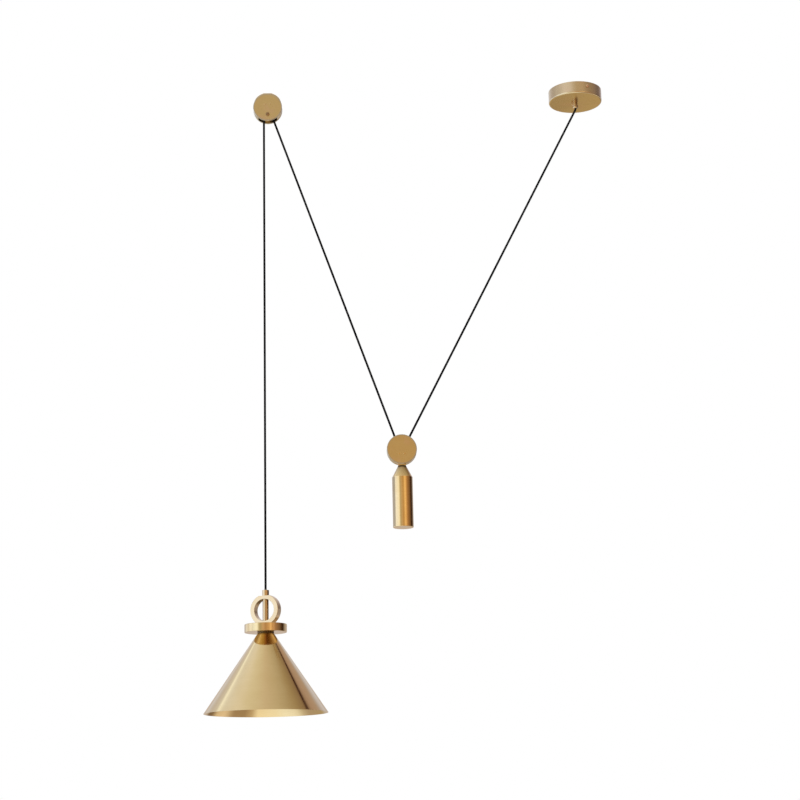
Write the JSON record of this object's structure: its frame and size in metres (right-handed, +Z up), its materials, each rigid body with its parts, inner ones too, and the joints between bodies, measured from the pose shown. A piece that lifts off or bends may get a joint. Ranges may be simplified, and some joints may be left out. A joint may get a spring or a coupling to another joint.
{
  "type": "rise and fall pendant",
  "caption": "Cone pendant lamp that rises and falls on one cord, over a fixed ceiling pulley and under a pulley with a counterweight, with a round ceiling canopy to one side.",
  "frame": {"origin": "centre of the canopy on the ceiling plane", "axes": "+Z up into the ceiling, +X to the right as the picture sees it, so the fixed pulley is at -X; the cord hangs in the plane Y = 0 and the viewer stands at -Y"},
  "size_m": [0.8696, 0.2524, 1.3412],
  "materials": {
    "canopy_brass": "satin",
    "disc_brass": "satin",
    "turned_brass": "polished",
    "bush_brass": "turned",
    "lamp_brass": "polished",
    "ring_brass": "polished",
    "shade_brass": "polished",
    "zinc_steel": "zinc plated",
    "terminal_plastic": "matte",
    "holder_plastic": "matte",
    "holder_ceramic": "glazed",
    "contact_brass": "nickel free",
    "lead_plastic": "matte",
    "cord_textile": "woven textile"
  },
  "bodies": {
    "ceiling_mount": {"canopy_cup": "canopy_brass", "ceiling_bracket": "zinc_steel", "canopy_side_screws": "canopy_brass", "cord_grip_body": "canopy_brass", "cord_grip_nut": "canopy_brass", "cord_grip_locknut": "zinc_steel", "cord_grip_set_screw": "canopy_brass", "terminal_block": "terminal_plastic", "terminal_screws": "zinc_steel", "cord_canopy_lead": "cord_textile", "fixed_front_disc": "disc_brass", "fixed_back_disc": "disc_brass", "fixed_block": "disc_brass", "fixed_axle": "turned_brass", "fixed_bush": "bush_brass", "fixed_back_screws": "zinc_steel", "cord_pulley_wrap": "cord_textile", "cord_canopy_run": "cord_textile", "cord_pulley_run": "cord_textile", "cord_lamp_drop": "cord_textile"},
    "lamp_cord": {"cord_lamp_end": "cord_textile"},
    "lamp": {"ferrule": "lamp_brass", "hanger_ring": "ring_brass", "ring_sleeve": "lamp_brass", "centre_tube": "lamp_brass", "top_disc": "lamp_brass", "disc_base_plate": "lamp_brass", "tube_locknut": "lamp_brass", "cord_clamp": "lamp_brass", "shade_collar": "lamp_brass", "shade_cone": "shade_brass", "lamp_nipple": "lamp_brass", "nipple_locknut": "lamp_brass", "lampholder_cap": "holder_plastic", "lampholder_skirt": "holder_plastic", "lampholder_insert": "holder_ceramic", "lampholder_shell": "contact_brass", "lampholder_contact": "contact_brass", "lamp_leads": "lead_plastic"},
    "counterweight": {"weight_front_disc": "disc_brass", "weight_back_disc": "disc_brass", "weight_block": "disc_brass", "weight_axle": "turned_brass", "weight_bush": "bush_brass", "weight_back_screws": "zinc_steel", "weight_stud": "turned_brass", "weight_body": "turned_brass", "cord_weight_wrap": "cord_textile"},
    "fixed_wheel": {"fixed_sheave": "bush_brass"},
    "weight_wheel": {"weight_sheave": "bush_brass"}
  },
  "joints": [
    {"name": "lamp_rise", "type": "slide", "parent": "ceiling_mount", "child": "lamp_cord", "axis": [0, 0, 1], "range_m": [-0.4, 0.35], "deforming": ["cord_lamp_drop"]},
    {"name": "lamp_turn", "type": "hinge", "parent": "lamp_cord", "child": "lamp", "pos_m": [-0.6854, 0, -1.0917], "axis": [0, 0, 1], "range_deg": [-180, 180]},
    {"name": "counterweight_rise", "type": "slide", "parent": "ceiling_mount", "child": "counterweight", "axis": [0, 0, 1], "range_m": [-0.1913, 0.2187], "deforming": ["cord_canopy_run", "cord_pulley_run"]},
    {"name": "fixed_wheel_turn", "type": "hinge", "parent": "ceiling_mount", "child": "fixed_wheel", "pos_m": [-0.6769, 0, -0.0502], "axis": [0, 1, 0], "continuous": true},
    {"name": "weight_wheel_turn", "type": "hinge", "parent": "counterweight", "child": "weight_wheel", "pos_m": [-0.3996, 0, -0.7881], "axis": [0, 1, 0], "continuous": true}
  ],
  "couplings": [
    {"joint": "counterweight_rise", "follows": "lamp_rise", "ratio": -0.54654},
    {"joint": "fixed_wheel_turn", "follows": "lamp_rise", "rad_per_m": 117.65},
    {"joint": "weight_wheel_turn", "follows": "lamp_rise", "rad_per_m": -56.985}
  ]
}
